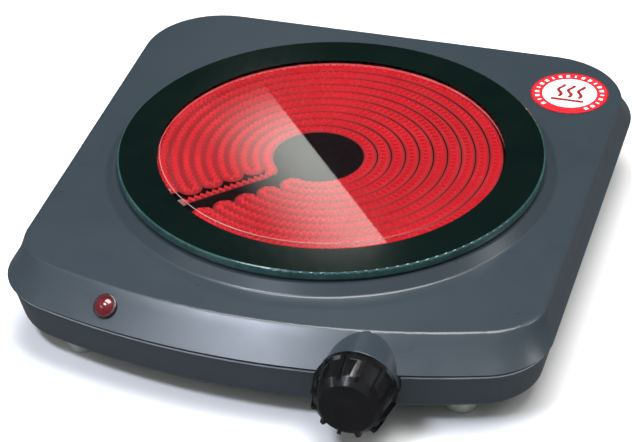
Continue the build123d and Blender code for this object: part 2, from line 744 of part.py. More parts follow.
def make_terminal_block():
    floor_z = PAN_Z + SHEET
    body = block(BLOCK_X - 18, BLOCK_X + 18, BLOCK_Y - 8, BLOCK_Y + 8, floor_z, floor_z + 9)
    for x in way_places():
        body += block(x - 4.5, x + 4.5, BLOCK_Y - 8, BLOCK_Y + 8, floor_z + 9, floor_z + 15)
        body -= rod_y(2.0, BLOCK_Y - 9, BLOCK_Y + 9, x, floor_z + 7)
        for y in (-4, 4):
            body -= Pos(x, BLOCK_Y + y, floor_z + 7) * extrude(Circle(2.1), 10)
    for x in (BLOCK_X - 6, BLOCK_X + 6):
        body -= Pos(x, BLOCK_Y, floor_z - 1) * extrude(Circle(1.6), 20)
    return body


def make_block_screws():
    """Slotted clamping screws in the three ways."""
    screws = []
    for x in way_places():
        for y in (-4, 4):
            screw = extrude(Circle(1.9), 5) - Pos(0, 0, 4) * extrude(Rectangle(4, 0.7), 2)
            screws.append(Pos(x, BLOCK_Y + y, PAN_Z + SHEET + 9.2) * screw)
    return group(screws)


def make_block_fixings():
    """Two screws up through the floor that hold the terminal block."""
    fixings = []
    for x in (BLOCK_X - 6, BLOCK_X + 6):
        head = Pos(x, BLOCK_Y, PAN_Z - 1.6) * extrude(Circle(2.8), 1.6)
        head = fillet(head.edges().group_by(Axis.Z)[0], 0.7)
        fixings.append(head + Pos(x, BLOCK_Y, PAN_Z - 0.5) * extrude(Circle(1.45), 9))
    return group(fixings)


def earth_place():
    return 100.0, 60.0


def make_earth_stud():
    head = Pos(0, 0, PAN_Z - 1.6) * extrude(Circle(3.8), 1.6)
    head = fillet(head.edges().group_by(Axis.Z)[0], 0.7)
    return Pos(*earth_place(), 0) * (head + Pos(0, 0, PAN_Z - 0.5) * extrude(Circle(1.95), 13))


def make_earth_nut():
    nut = extrude(RegularPolygon(3.5, 6, major_radius=False) - Circle(2.0), 3.2)
    return Pos(*earth_place(), PAN_Z + SHEET + 1.0) * nut


def make_earth_tag():
    """Ring terminal clamped under the nut, with its crimp barrel."""
    tag = extrude(Circle(4.2), 0.9) + Pos(7, 0, 0) * extrude(Rectangle(8, 5), 0.9)
    tag -= extrude(Circle(2.05), 1)
    return Pos(*earth_place(), PAN_Z + SHEET) * Rot(0, 0, 120) * tag


# ---------------------------------------------------------------- internal wiring
def wire(points, bend):
    """Insulated wire along straight runs with round bends."""
    path = FilletPolyline(*points, radius=bend)
    start = Plane(origin=path @ 0, z_dir=path % 0)
    return sweep(start * Circle(WIRE_R), path=path)


def push_on(location):
    """Insulated push-on receptacle: its mouth at the location, its body along +Z."""
    sleeve = extrude(RectangleRounded(8.4, 3.6, 1.2), 15)
    sleeve -= Pos(0, 0, -0.5) * extrude(Rectangle(6.6, 1.2), 9.5)
    return location * sleeve


def receptacle_places():
    """Mouth of each receptacle, with its body leading away along local +Z."""
    places = []
    for x0, z0 in terminal_places():
        places.append(Pos(KNOB_X + x0 + 3.15, REG_FRONT + REG_DEPTH + 0.4, KNOB_Z + z0 + 0.4) * Rot(-90, 0, 0))
    for across in LEAD_ACROSS:
        places.append(channel_frame(BLOCK_OUT + 0.5, across, BOARD_Z - 9.7) * Rot(0, 180, 90))
    cutout_z = BOARD_Z - BOARD_T - DISH_T - 9.4
    places.append(Pos(CUTOUT_X + 8.6, CUTOUT_Y, cutout_z) * Rot(0, 90, 0) * Rot(0, 0, 90))
    places.append(Pos(CUTOUT_X - 8.6, CUTOUT_Y, cutout_z) * Rot(0, -90, 0) * Rot(0, 0, 90))
    return places


def make_push_on_sleeves():
    return group(push_on(place) for place in receptacle_places())


def sleeve_end(i):
    """Point where the wire enters receptacle i."""
    return (receptacle_places()[i] * Pos(0, 0, 15)).position


def block_mouth(i):
    return Vector(way_places()[i], BLOCK_Y - 4, PAN_Z + SHEET + 7)


def make_wire_live():
    """From the mains block, under the heater, to the regulator."""
    start = block_mouth(1)
    end = sleeve_end(1)
    low = PAN_Z + SHEET + 2.5
    points = [start, (start.X, 74, start.Z), (46, 40, low), (46, -46, low), (end.X, -60, end.Z), end]
    return wire(points, 9)


def make_wire_load():
    """From the regulator to the thermal cut-out."""
    start = sleeve_end(0)
    end = sleeve_end(4)
    points = [start, (start.X, -56, start.Z), (51, -36, 19), (end.X + 8, CUTOUT_Y, end.Z), end]
    return wire(points, 6)


def make_wire_heater():
    """From the thermal cut-out to the inner lead of the heater."""
    start = sleeve_end(5)
    end = sleeve_end(3)
    points = [start, (-16, CUTOUT_Y, start.Z), (-46, -52, 13), (end.X, end.Y, 12.5), end]
    return wire(points, 4.5)


def make_wire_neutral():
    """From the mains block to the outer lead of the heater."""
    start = block_mouth(0)
    end = sleeve_end(2)
    points = [start, (start.X, 70, start.Z), (22, 35, 13), (-30, 8, 13), (-78, -22, 13),
              (end.X, end.Y, 12.5), end]
    return wire(points, 4.5)


def make_wire_earth():
    start = block_mouth(2)
    tag = Pos(*earth_place(), PAN_Z + SHEET) * Rot(0, 0, 120) * Pos(10.5, 0, 2.3)
    end = tag.position
    points = [start, (start.X, 84, start.Z), (end.X - 3, end.Y + 6, end.Z + 2), end]
    return wire(points, 3)


def make_lamp_leads():
    """Two thin leads from the lamp's rear to the heater's terminals."""
    frame = panel_plane().location
    leads = []
    for i, x in enumerate((-1.8, 1.8)):
        start = (frame * Pos(x, 0, -17)).position
        out = (frame * Pos(x, 0, -27)).position
        tab = channel_frame(BLOCK_OUT + 2.2, LEAD_ACROSS[i], BOARD_Z - 4).position
        path = FilletPolyline(start, out, (tab.X + 3, tab.Y - 12, tab.Z - 2), tab, radius=3)
        leads.append(sweep(Plane(origin=path @ 0, z_dir=path % 0) * Circle(0.7), path=path))
    return group(leads)


# ---------------------------------------------------------------- label
def make_round_label():
    return Pos(LABEL_X, LABEL_Y, DECK_Z) * extrude(Circle(LABEL_R), 0.2)


# ---------------------------------------------------------------- write every piece
PIECES = {
    "top_cover": make_top_cover,
    "cover_standoffs": make_standoffs,
    "base_pan": make_base_pan,
    "feet": make_feet,
    "foot_screws": make_foot_screws,
    "glass_disc": make_glass_disc,
    "glass_seal": make_glass_seal,
    "heater_dish": make_heater_dish,
    "insulation_board": make_insulation_board,
    "insulation_rim": make_insulation_rim,
    "heating_ribbon": make_heating_ribbon,
    "heater_terminals": make_heater_terminals,
    "heater_terminal_block": make_heater_terminal_block,
    "heater_supports": make_heater_supports,
    "support_rivets": make_support_rivets,
    "thermal_cutout": make_thermal_cutout,
    "cutout_terminals": make_cutout_terminals,
    "regulator_housing": make_regulator_housing,
    "regulator_bracket": make_regulator_bracket,
    "bracket_screws": make_bracket_screws,
    "snail_cam": make_snail_cam,
    "control_spindle": make_control_spindle,
    "spindle_clip": make_spindle_clip,
    "follower_lever": make_follower_lever,
    "bimetal_strip": make_bimetal_strip,
    "lever_pin": make_lever_pin,
    "regulator_terminals": make_regulator_terminals,
    "contact_blade": make_contact_blade,
    "contact_points": make_contact_points,
    "control_knob": make_control_knob,
    "knob_clip": make_knob_clip,
    "lamp_bezel": make_lamp_bezel,
    "lamp_lens": make_lamp_lens,
    "lamp_nut": make_lamp_nut,
    "neon_bulb": make_neon_bulb,
    "cord_bush": make_cord_bush,
    "terminal_block": make_terminal_block,
    "block_screws": make_block_screws,
    "block_fixings": make_block_fixings,
    "earth_stud": make_earth_stud,
    "earth_nut": make_earth_nut,
    "earth_tag": make_earth_tag,
    "push_on_sleeves": make_push_on_sleeves,
    "wire_live": make_wire_live,
    "wire_load": make_wire_load,
    "wire_heater": make_wire_heater,
    "wire_neutral": make_wire_neutral,
    "wire_earth": make_wire_earth,
    "lamp_leads": make_lamp_leads,
    "round_label": make_round_label,
}

for piece_name, make_piece in PIECES.items():
    save(piece_name, make_piece())
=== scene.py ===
import json
from math import asin, atan2, cos, hypot, pi, radians, sin, sqrt

import bpy
from mathutils import Matrix, Vector


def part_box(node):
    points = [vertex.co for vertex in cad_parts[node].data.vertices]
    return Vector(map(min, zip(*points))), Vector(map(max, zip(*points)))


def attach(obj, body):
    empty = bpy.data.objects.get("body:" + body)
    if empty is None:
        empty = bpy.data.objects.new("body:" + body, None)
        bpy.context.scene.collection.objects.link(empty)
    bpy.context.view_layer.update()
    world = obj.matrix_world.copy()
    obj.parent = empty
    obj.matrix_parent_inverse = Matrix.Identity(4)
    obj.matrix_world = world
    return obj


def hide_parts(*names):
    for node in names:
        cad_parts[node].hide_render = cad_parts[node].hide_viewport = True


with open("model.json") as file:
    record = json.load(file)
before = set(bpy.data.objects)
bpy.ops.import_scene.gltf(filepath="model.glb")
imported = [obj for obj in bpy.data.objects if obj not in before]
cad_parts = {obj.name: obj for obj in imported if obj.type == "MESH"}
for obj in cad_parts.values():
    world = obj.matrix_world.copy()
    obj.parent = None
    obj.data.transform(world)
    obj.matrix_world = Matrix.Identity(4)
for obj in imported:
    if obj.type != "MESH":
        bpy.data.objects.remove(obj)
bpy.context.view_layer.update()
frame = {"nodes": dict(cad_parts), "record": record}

NODES = frame["nodes"]
MM = 0.001

glass_low, glass_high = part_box("glass_disc")
DISC = Vector(((glass_low.x + glass_high.x) / 2, (glass_low.y + glass_high.y) / 2, 0))
GLASS_TOP = glass_high.z
BOARD_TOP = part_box("insulation_board")[1].z
WINDOW_R = 81.3 * MM
SEAM_Z = 31 * MM


def at_disc(x, y, z=0.0):
    """Point given in millimetres from the disc's centre, with z in metres."""
    return Vector((DISC.x + x * MM, DISC.y + y * MM, z))


# ------------------------------------------------------------------ camera
def back_vector(azimuth, elevation):
    return Vector((sin(azimuth) * cos(elevation), -cos(azimuth) * cos(elevation), sin(elevation)))


CAM_AZ, CAM_EL, CAM_ROLL = 0.2836032, 0.5944327, -0.0174533
CAM_TARGET = at_disc(9.24, -59.03, GLASS_TOP)
CAM_DIST = 1.24572


def make_camera():
    data = bpy.data.cameras.new("photo_view")
    camera = bpy.data.objects.new("photo_view", data)
    bpy.context.scene.collection.objects.link(camera)
    back = back_vector(CAM_AZ, CAM_EL)
    right = Vector((cos(CAM_AZ), sin(CAM_AZ), 0))
    up = back.cross(right)
    c, s = cos(CAM_ROLL), sin(CAM_ROLL)
    axes = Matrix((c * right + s * up, -s * right + c * up, back)).transposed()
    camera.matrix_world = Matrix.Translation(CAM_TARGET + back * CAM_DIST) @ axes.to_4x4()
    data.sensor_width = 36.0
    data.lens = 36.0 * 2774.39 / 632
    data.clip_start = 0.05
    bpy.context.scene.camera = camera


make_camera()
CAM_AT = CAM_TARGET + back_vector(CAM_AZ, CAM_EL) * CAM_DIST


# ------------------------------------------------------------------ node helpers
class Tree:
    """Small helper for building a node tree in few lines."""

    def __init__(self, tree):
        self.tree = tree
        tree.nodes.clear()

    def add(self, kind, **values):
        node = self.tree.nodes.new(kind)
        for key, value in values.items():
            if hasattr(node, key):
                setattr(node, key, value)
            else:
                node.inputs[key.replace("_", " ")].default_value = value
        return node

    def link(self, a, out, b, into):
        self.tree.links.new(a.outputs[out], b.inputs[into])

    def math(self, operation, a, b=None, clamp=False):
        node = self.tree.nodes.new("ShaderNodeMath")
        node.operation = operation
        node.use_clamp = clamp
        for i, value in enumerate((a, b)):
            if value is None:
                continue
            if isinstance(value, (int, float)):
                node.inputs[i].default_value = value
            else:
                self.tree.links.new(value, node.inputs[i])
        return node.outputs[0]

    def ramp(self, value, low, high, out_low=0.0, out_high=1.0, smooth=False):
        node = self.tree.nodes.new("ShaderNodeMapRange")
        node.interpolation_type = "SMOOTHSTEP" if smooth else "LINEAR"
        self.tree.links.new(value, node.inputs["Value"])
        limits = {"From Min": low, "From Max": high, "To Min": out_low, "To Max": out_high}
        for name, number in limits.items():
            node.inputs[name].default_value = number
        return node.outputs["Result"]

    def position(self):
        return self.tree.nodes.new("ShaderNodeTexCoord").outputs["Object"]

    def noise(self, scale, detail=3.0, stretch=(1, 1, 1), rough=0.55):
        mapping = self.tree.nodes.new("ShaderNodeMapping")
        mapping.inputs["Scale"].default_value = stretch
        self.tree.links.new(self.position(), mapping.inputs["Vector"])
        node = self.tree.nodes.new("ShaderNodeTexNoise")
        node.inputs["Scale"].default_value = scale
        node.inputs["Detail"].default_value = detail
        node.inputs["Roughness"].default_value = rough
        self.tree.links.new(mapping.outputs["Vector"], node.inputs["Vector"])
        return node.outputs[0]

    def mix(self, factor, a, b):
        """Mix of two colours, each a tuple or a socket."""
        node = self.tree.nodes.new("ShaderNodeMix")
        node.data_type = "RGBA"
        colours = [s for s in node.inputs if s.type == "RGBA"]
        if isinstance(factor, (int, float)):
            node.inputs[0].default_value = factor
        else:
            self.tree.links.new(factor, node.inputs[0])
        for socket, value in zip(colours, (a, b)):
            if isinstance(value, tuple):
                socket.default_value = (*value[:3], 1.0)
            else:
                self.tree.links.new(value, socket)
        return [s for s in node.outputs if s.type == "RGBA"][0]


def shade(colour, factor):
    return tuple(min(1.0, c * factor) for c in colour)


def edge_mask(t, radius):
    """1 on convex and concave edges, 0 on open surfaces."""
    bevel = t.add("ShaderNodeBevel", samples=4)
    bevel.inputs["Radius"].default_value = radius
    geometry = t.tree.nodes.new("ShaderNodeNewGeometry")
    dot = t.tree.nodes.new("ShaderNodeVectorMath")
    dot.operation = "DOT_PRODUCT"
    t.link(bevel, "Normal", dot, 0)
    t.link(geometry, "Normal", dot, 1)
    return t.ramp(dot.outputs["Value"], 0.995, 0.88)


def surface(name, colour, rough, metal=0.0, vary=0.12, vary_scale=60, rough_vary=0.08, rough_scale=220,
            bump=0.05, bump_scale=900, bump_depth=0.0002, coat=0.0, coat_rough=0.1, specular=0.5,
            wear=0.0, wear_colour=None, stretch=(1, 1, 1), sheen=0.0):
    """Material with colour clouding, uneven roughness, fine relief and worn edges."""
    material = bpy.data.materials.new(name)
    material.use_nodes = True
    t = Tree(material.node_tree)
    out = t.add("ShaderNodeOutputMaterial")
    body = t.add("ShaderNodeBsdfPrincipled")
    clouds = t.noise(vary_scale, 4.0, stretch)
    base = t.mix(t.ramp(clouds, 0.3, 0.7), shade(colour, 1 - vary), shade(colour, 1 + vary))
    if wear:
        specks = t.ramp(t.noise(vary_scale * 9, 5.0), 0.42, 0.6)
        mask = t.math("MULTIPLY", t.math("MULTIPLY", edge_mask(t, 0.0003), specks), wear)
        base = t.mix(mask, base, wear_colour or shade(colour, 2.2))
    t.tree.links.new(base, body.inputs["Base Color"])
    t.tree.links.new(t.ramp(t.noise(rough_scale, 5.0, stretch), 0.3, 0.7, max(0.02, rough - rough_vary),
                            min(1.0, rough + rough_vary)), body.inputs["Roughness"])
    relief = t.add("ShaderNodeBump")
    relief.inputs["Strength"].default_value = bump
    relief.inputs["Distance"].default_value = bump_depth
    t.tree.links.new(t.noise(bump_scale, 3.0, stretch), relief.inputs["Height"])
    t.link(relief, "Normal", body, "Normal")
    body.inputs["Metallic"].default_value = metal
    body.inputs["Coat Weight"].default_value = coat
    body.inputs["Coat Roughness"].default_value = coat_rough
    body.inputs["Specular IOR Level"].default_value = specular
    body.inputs["Sheen Weight"].default_value = sheen
    t.link(body, "BSDF", out, "Surface")
    return material, t, body


def plain_surface(*args, **kwargs):
    return surface(*args, **kwargs)[0]


def disc_radius(t):
    """Distance from the disc's axis, then x and y from it, and z; all in metres."""
    split = t.tree.nodes.new("ShaderNodeSeparateXYZ")
    t.tree.links.new(t.position(), split.inputs[0])
    x = t.math("SUBTRACT", split.outputs[0], DISC.x)
    y = t.math("SUBTRACT", split.outputs[1], DISC.y)
    square = t.math("ADD", t.math("MULTIPLY", x, x), t.math("MULTIPLY", y, y))
    return t.math("SQRT", square), x, y, split.outputs[2]


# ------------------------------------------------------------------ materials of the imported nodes
def paint(name, colour, rough):
    return plain_surface(name, colour, rough, vary=0.03, vary_scale=9, rough_vary=0.03,
                         rough_scale=60, bump=0.10, bump_scale=1500, bump_depth=0.0001,
                         coat=0.2, coat_rough=0.25)


def pan_paint():
    """The cover's paint a little darker, with a painted shadow along the seam and a painted highlight where
    the rolled lip at the pan's top edge catches the light.
    """
    material = paint("pan_paint", shade(SLATE, 0.95), 0.34)
    t = Tree.__new__(Tree)
    t.tree = material.node_tree
    body = t.tree.nodes["Principled BSDF"]
    base = body.inputs["Base Color"].links[0].from_socket
    split = t.tree.nodes.new("ShaderNodeSeparateXYZ")
    t.tree.links.new(t.position(), split.inputs[0])
    below = t.math("SUBTRACT", SEAM_Z, split.outputs[2])
    # painted highlight: a pale band 2.2 to 3.4 mm below the seam, standing in for the light on the rolled
    # lip
    lip_highlight = t.math("MULTIPLY", t.ramp(below, 0.0022, 0.0024), t.ramp(below, 0.0034, 0.0031))
    # painted shadow: a near-black band from the seam down to 2.2 mm below it
    shadow = t.ramp(below, 0.0022, 0.0020)
    lit = t.mix(t.math("MULTIPLY", lip_highlight, t.ramp(t.noise(70), 0.3, 0.7, 0.5, 0.8)), base, (0.26, 0.30, 0.36))
    t.tree.links.new(t.mix(shadow, lit, (0.004, 0.006, 0.008)), body.inputs["Base Color"])
    return material


def hob_glass():
    """Clear window in the middle, dark printed border outside it, teal edge."""
    material = bpy.data.materials.new("hob_glass")
    material.use_nodes = True
    t = Tree(material.node_tree)
    out = t.add("ShaderNodeOutputMaterial")
    r, x, y, z = disc_radius(t)
    clear = t.add("ShaderNodeBsdfPrincipled")
    clear.inputs["Base Color"].default_value = (0.97, 0.93, 0.93, 1)
    clear.inputs["Transmission Weight"].default_value = 1.0
    clear.inputs["IOR"].default_value = 1.5
    t.tree.links.new(t.ramp(t.noise(160, 5.0), 0.35, 0.8, 0.0, 0.02), clear.inputs["Roughness"])
    under = t.add("ShaderNodeBsdfTransparent")
    border = t.add("ShaderNodeBsdfPrincipled")
    tint = t.mix(t.ramp(t.noise(45, 4.0), 0.3, 0.7), (0.0020, 0.0060, 0.0050), (0.0032, 0.0078, 0.0066))
    t.tree.links.new(tint, border.inputs["Base Color"])
    t.tree.links.new(t.ramp(t.noise(300, 5.0), 0.3, 0.7, 0.09, 0.14), border.inputs["Roughness"])
    border.inputs["Specular IOR Level"].default_value = 0.3
    relief = t.add("ShaderNodeBump")
    relief.inputs["Strength"].default_value = 0.12
    relief.inputs["Distance"].default_value = 0.00005
    t.tree.links.new(t.noise(2600, 2.0), relief.inputs["Height"])
    t.link(relief, "Normal", border, "Normal")
    rim = t.add("ShaderNodeBsdfPrincipled")
    t.tree.links.new(t.mix(t.ramp(t.noise(120, 4.0), 0.3, 0.7), (0.014, 0.045, 0.044), (0.03, 0.085, 0.08)),
                     rim.inputs["Base Color"])
    t.tree.links.new(t.ramp(t.noise(500, 4.0), 0.3, 0.7, 0.05, 0.16), rim.inputs["Roughness"])
    rim.inputs["Coat Weight"].default_value = 0.6
    bottom = t.math("LESS_THAN", z, glass_low.z + 0.0001)
    window = t.math("LESS_THAN", r, WINDOW_R)
    edge = t.math("GREATER_THAN", r, 0.0991)
    mix_window = t.add("ShaderNodeMixShader")
    t.tree.links.new(window, mix_window.inputs[0])
    t.link(border, "BSDF", mix_window, 1)
    t.link(clear, "BSDF", mix_window, 2)
    mix_edge = t.add("ShaderNodeMixShader")
    t.tree.links.new(edge, mix_edge.inputs[0])
    t.link(mix_window, "Shader", mix_edge, 1)
    t.link(rim, "BSDF", mix_edge, 2)
    mix_under = t.add("ShaderNodeMixShader")
    t.tree.links.new(t.math("MULTIPLY", bottom, window), mix_under.inputs[0])
    t.link(mix_edge, "Shader", mix_under, 1)
    t.link(under, "BSDF", mix_under, 2)
    t.link(mix_under, "Shader", out, "Surface")
    return material


def insulation_rim():
    """Fibre ring, with the ribbon's red light painted on its inner wall as glow."""
    material, t, body = surface("insulation_rim", (0.80, 0.78, 0.74), 0.95, vary=0.1, vary_scale=300,
                                bump=0.6, bump_scale=1600, bump_depth=0.0004)
    r, x, y, z = disc_radius(t)
    # painted light: emission near the inner wall, stronger low down, stands in for the ribbon's red light
    # falling on it
    near = t.ramp(r, 0.0815, 0.0835, 1.0, 0.0)
    low = t.ramp(z, BOARD_TOP, glass_low.z, 1.0, 0.35)
    body.inputs["Emission Color"].default_value = (1.0, 0.03, 0.045, 1)
    glow = t.math("MULTIPLY", t.math("MULTIPLY", near, low), t.ramp(t.noise(400, 4.0), 0.2, 0.8, 0.20, 0.34))
    t.tree.links.new(glow, body.inputs["Emission Strength"])
    return material


def lamp_lens():
    material, t, body = surface("lamp_red", (0.11, 0.003, 0.008), 0.16, vary=0.15, vary_scale=700,
                                rough_vary=0.05, bump=0.15, bump_scale=1400, bump_depth=0.0003, coat=1.0,
                                coat_rough=0.04)
    body.inputs["Subsurface Weight"].default_value = 0.2
    body.inputs["Subsurface Radius"].default_value = (0.004, 0.001, 0.001)
    body.inputs["Subsurface Scale"].default_value = 0.3
    body.inputs["Emission Color"].default_value = (0.9, 0.02, 0.05, 1)
    body.inputs["Emission Strength"].default_value = 0.02
    return material


def striped_wire(name, colour, other):
    material, t, body = surface(name, colour, 0.4, vary=0.06, bump=0.15, bump_scale=700)
    wave = t.add("ShaderNodeTexWave")
    wave.inputs["Scale"].default_value = 60
    t.tree.links.new(t.position(), wave.inputs["Vector"])
    t.tree.links.new(t.mix(t.ramp(wave.outputs[1], 0.45, 0.55), colour, other), body.inputs["Base Color"])
    return material


SLATE = (0.0265, 0.0375, 0.0465)
ZINC = dict(metal=1.0, vary=0.08, vary_scale=500, rough_vary=0.1, rough_scale=900, bump=0.1)
MOULDED = dict(vary=0.06, vary_scale=150, rough_vary=0.06, bump=0.25, bump_scale=2400)
SLOTS = {
    "slate_paint": lambda: paint("slate_paint", SLATE, 0.30),
    "pan_paint": pan_paint,
    "zinc_steel": lambda: plain_surface("zinc_steel", (0.60, 0.61, 0.60), 0.32, **ZINC),
    "spring_steel": lambda: plain_surface("spring_steel", (0.46, 0.46, 0.45), 0.30, **ZINC),
    "foot_rubber": lambda: plain_surface("foot_rubber", (0.30, 0.34, 0.31), 0.7, vary=0.15, vary_scale=260,
                                         bump=0.4, bump_scale=1500, sheen=0.15),
    "hob_glass": hob_glass,
    "seal_rubber": lambda: plain_surface("seal_rubber", (0.02, 0.024, 0.024), 0.45, bump=0.3),
    # painted shade: the board is near-black, standing in for the shade inside the hob under the glass; the
    # real board is pale
    "insulation": lambda: plain_surface("insulation", (0.010, 0.009, 0.010), 0.95, vary=0.4, vary_scale=420,
                                        bump=0.7, bump_scale=1300, bump_depth=0.0004, specular=0.1),
    "insulation_rim": insulation_rim,
    "hot_ribbon": lambda: plain_surface("cold_ribbon", (0.30, 0.12, 0.09), 0.5, metal=0.6),
    "nickel_strip": lambda: plain_surface("nickel_strip", (0.62, 0.58, 0.50), 0.3, **ZINC),
    "steatite": lambda: plain_surface("steatite", (0.80, 0.77, 0.70), 0.55, **MOULDED),
    "brown_moulding": lambda: plain_surface("brown_moulding", (0.12, 0.07, 0.04), 0.4, **MOULDED),
    "white_moulding": lambda: plain_surface("white_moulding", (0.74, 0.73, 0.68), 0.38, **MOULDED),
    "bimetal": lambda: plain_surface("bimetal", (0.52, 0.49, 0.43), 0.28, stretch=(1, 1, 9), **ZINC),
    "copper_alloy": lambda: plain_surface("copper_alloy", (0.72, 0.43, 0.24), 0.28, **ZINC),
    "silver_contact": lambda: plain_surface("silver_contact", (0.85, 0.85, 0.84), 0.2, **ZINC),
    "knob_black": lambda: plain_surface("knob_black", (0.004, 0.0042, 0.005), 0.16, vary=0.2, vary_scale=90,
                                        rough_vary=0.05, bump=0.06, bump_scale=1700, coat=0.3,
                                        coat_rough=0.06, specular=0.35, wear=0.3,
                                        wear_colour=(0.02, 0.02, 0.022)),
    "lamp_body": lambda: plain_surface("lamp_body", (0.030, 0.004, 0.005), 0.25, vary=0.15, bump=0.1,
                                       coat=0.6, wear=0.3),
    "lamp_red": lamp_lens,
    "clear_glass": lambda: plain_surface("clear_glass", (0.8, 0.8, 0.8), 0.1, coat=1.0),
    "bush_black": lambda: plain_surface("bush_black", (0.014, 0.014, 0.016), 0.5, bump=0.3, bump_scale=1200),
    "brass_screw": lambda: plain_surface("brass_screw", (0.74, 0.56, 0.27), 0.25, **ZINC),
    "clear_sleeve": lambda: plain_surface("clear_sleeve", (0.66, 0.66, 0.62), 0.35, **MOULDED),
    "wire_brown": lambda: plain_surface("wire_brown", (0.17, 0.07, 0.03), 0.4, **MOULDED),
    "wire_black": lambda: plain_surface("wire_black", (0.02, 0.02, 0.02), 0.4, **MOULDED),
    "wire_red": lambda: plain_surface("wire_red", (0.40, 0.02, 0.02), 0.6, bump=0.6, bump_scale=900),
    "wire_blue": lambda: plain_surface("wire_blue", (0.03, 0.10, 0.38), 0.4, **MOULDED),
    "wire_green": lambda: striped_wire("wire_green", (0.10, 0.34, 0.05), (0.62, 0.55, 0.05)),
    "wire_white": lambda: plain_surface("wire_white", (0.74, 0.74, 0.70), 0.4, **MOULDED),
    "label_paper": lambda: plain_surface("label_paper", (0.86, 0.84, 0.83), 0.3, **MOULDED),
}


def soft_edges():
    """Modifier tree that joins the tessellated faces and shades them smooth up to sharp edges."""
    group = bpy.data.node_groups.new("soft_edges", "GeometryNodeTree")
    group.interface.new_socket("Geometry", in_out="INPUT", socket_type="NodeSocketGeometry")
    group.interface.new_socket("Geometry", in_out="OUTPUT", socket_type="NodeSocketGeometry")
    add, link = group.nodes.new, group.links.new
    start, end = add("NodeGroupInput"), add("NodeGroupOutput")
    merge = add("GeometryNodeMergeByDistance")
    merge.inputs["Distance"].default_value = 0.000002
    faces = add("GeometryNodeSetShadeSmooth")
    faces.inputs["Shade Smooth"].default_value = True
    edges = add("GeometryNodeSetShadeSmooth")
    edges.domain = "EDGE"
    angle = add("GeometryNodeInputMeshEdgeAngle")
    sharp = add("FunctionNodeCompare")
    sharp.inputs[1].default_value = radians(24)
    link(angle.outputs["Unsigned Angle"], sharp.inputs[0])
    link(sharp.outputs[0], edges.inputs["Selection"])
    edges.inputs["Shade Smooth"].default_value = False
    link(start.outputs[0], merge.inputs["Geometry"])
    link(merge.outputs["Geometry"], faces.inputs["Geometry"])
    link(faces.outputs["Geometry"], edges.inputs["Geometry"])
    link(edges.outputs["Geometry"], end.inputs[0])
    return group


def dress_nodes():
    made = {}
    soften = soft_edges()
    for part in frame["record"]["subparts"]:
        node, slot = NODES[part["node"]], part["material_slot"]
        if slot not in made:
            made[slot] = SLOTS[slot]()
        node.data.materials.clear()
        node.data.materials.append(made[slot])
        modifier = node.modifiers.new("soft_edges", "NODES")
        modifier.node_group = soften
        weighted = node.modifiers.new("flat_faces", "WEIGHTED_NORMAL")
        weighted.mode = "FACE_AREA"
        weighted.weight = 90
        weighted.keep_sharp = True


dress_nodes()


# ------------------------------------------------------------------ new pieces
def piece(name, vertices, faces, material, slot, body="housing", smooth=True):
    mesh = bpy.data.meshes.new(name)
    mesh.from_pydata([tuple(v) for v in vertices], [], faces)
    mesh.validate()
    mesh.update()
    if smooth:
        mesh.polygons.foreach_set("use_smooth", [True] * len(mesh.polygons))
    mesh.materials.append(material)
    obj = bpy.data.objects.new(name, mesh)
    bpy.context.scene.collection.objects.link(obj)
    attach(obj, body)
    return obj


# The ribbon's turns, in millimetres from the disc's centre.
TURNS = 10
OUTER_R, INNER_R = 78.0, 24.2
OUTER_AT, INNER_AT = (-1.0, 1.2), (-5.5, -2.2)
GAP = radians(-135)
GAP_LEFT, GAP_RIGHT = -9.0, 13.0
BEND_R = 6.0
PITCH = (OUTER_R - INNER_R) / (TURNS - 1)


def turn(i):
    part = i / (TURNS - 1)
    x = OUTER_AT[0] + part * (INNER_AT[0] - OUTER_AT[0])
    y = OUTER_AT[1] + part * (INNER_AT[1] - OUTER_AT[1])
    return x, y, OUTER_R + part * (INNER_R - OUTER_R)


def along(x, y):
    return x * cos(GAP) + y * sin(GAP)


def across(x, y):
    return -x * sin(GAP) + y * cos(GAP)


def in_channel(a, b):
    return a * cos(GAP) - b * sin(GAP), a * sin(GAP) + b * cos(GAP)


def turn_end(i, side):
    x, y, r = turn(i)
    return GAP + asin((side - across(x, y)) / r)


def turn_end_along(i, side):
    x, y, r = turn(i)
    return along(x, y) + sqrt(r * r - (side - across(x, y)) ** 2)


def arc(x, y, r, start, size, step=0.25):
    count = max(6, int(abs(size) * r / step))
    return [(x + r * cos(start + size * k / count), y + r * sin(start + size * k / count))
            for k in range(count + 1)]


def hairpin(i, side, outward):
    """Half turn from turn i to turn i + 1."""
    a0, a1 = turn_end_along(i, side), turn_end_along(i + 1, side)
    cx, cy = in_channel((a0 + a1) / 2, side)
    return arc(cx, cy, (a0 - a1) / 2, GAP, outward * pi)


def ribbon_path():
    """Centre line of the whole ribbon, from the outer lead to the inner lead."""
    points = []
    last = TURNS - 1
    bend_y = -BEND_R
    x, y, r = turn(last)
    bend_along = along(x, y) + sqrt((r + BEND_R) ** 2 - (bend_y - across(x, y)) ** 2)
    bx, by = in_channel(bend_along, bend_y)
    for i in range(TURNS):
        x, y, r = turn(i)
        right, left = turn_end(i, GAP_RIGHT), turn_end(i, GAP_LEFT)
        if i == last:
            left = atan2(by - y, bx - x)
        size = (left - right) % (2 * pi)
        path = arc(x, y, r, right, size)
        points += path[::-1] if i % 2 == 0 else path
        if i == last:
            break
        side, outward = (GAP_RIGHT, -1) if i % 2 == 0 else (GAP_LEFT, 1)
        points += hairpin(i, side, outward)[1:-1]
    start = atan2(y - by, x - bx)
    size = (GAP + pi / 2 - start + pi) % (2 * pi) - pi
    points += arc(bx, by, BEND_R, start, size)[1:]
    a = bend_along
    while a < 78.0:
        a += 0.25
        points.append(in_channel(a, 0.0))
    return points


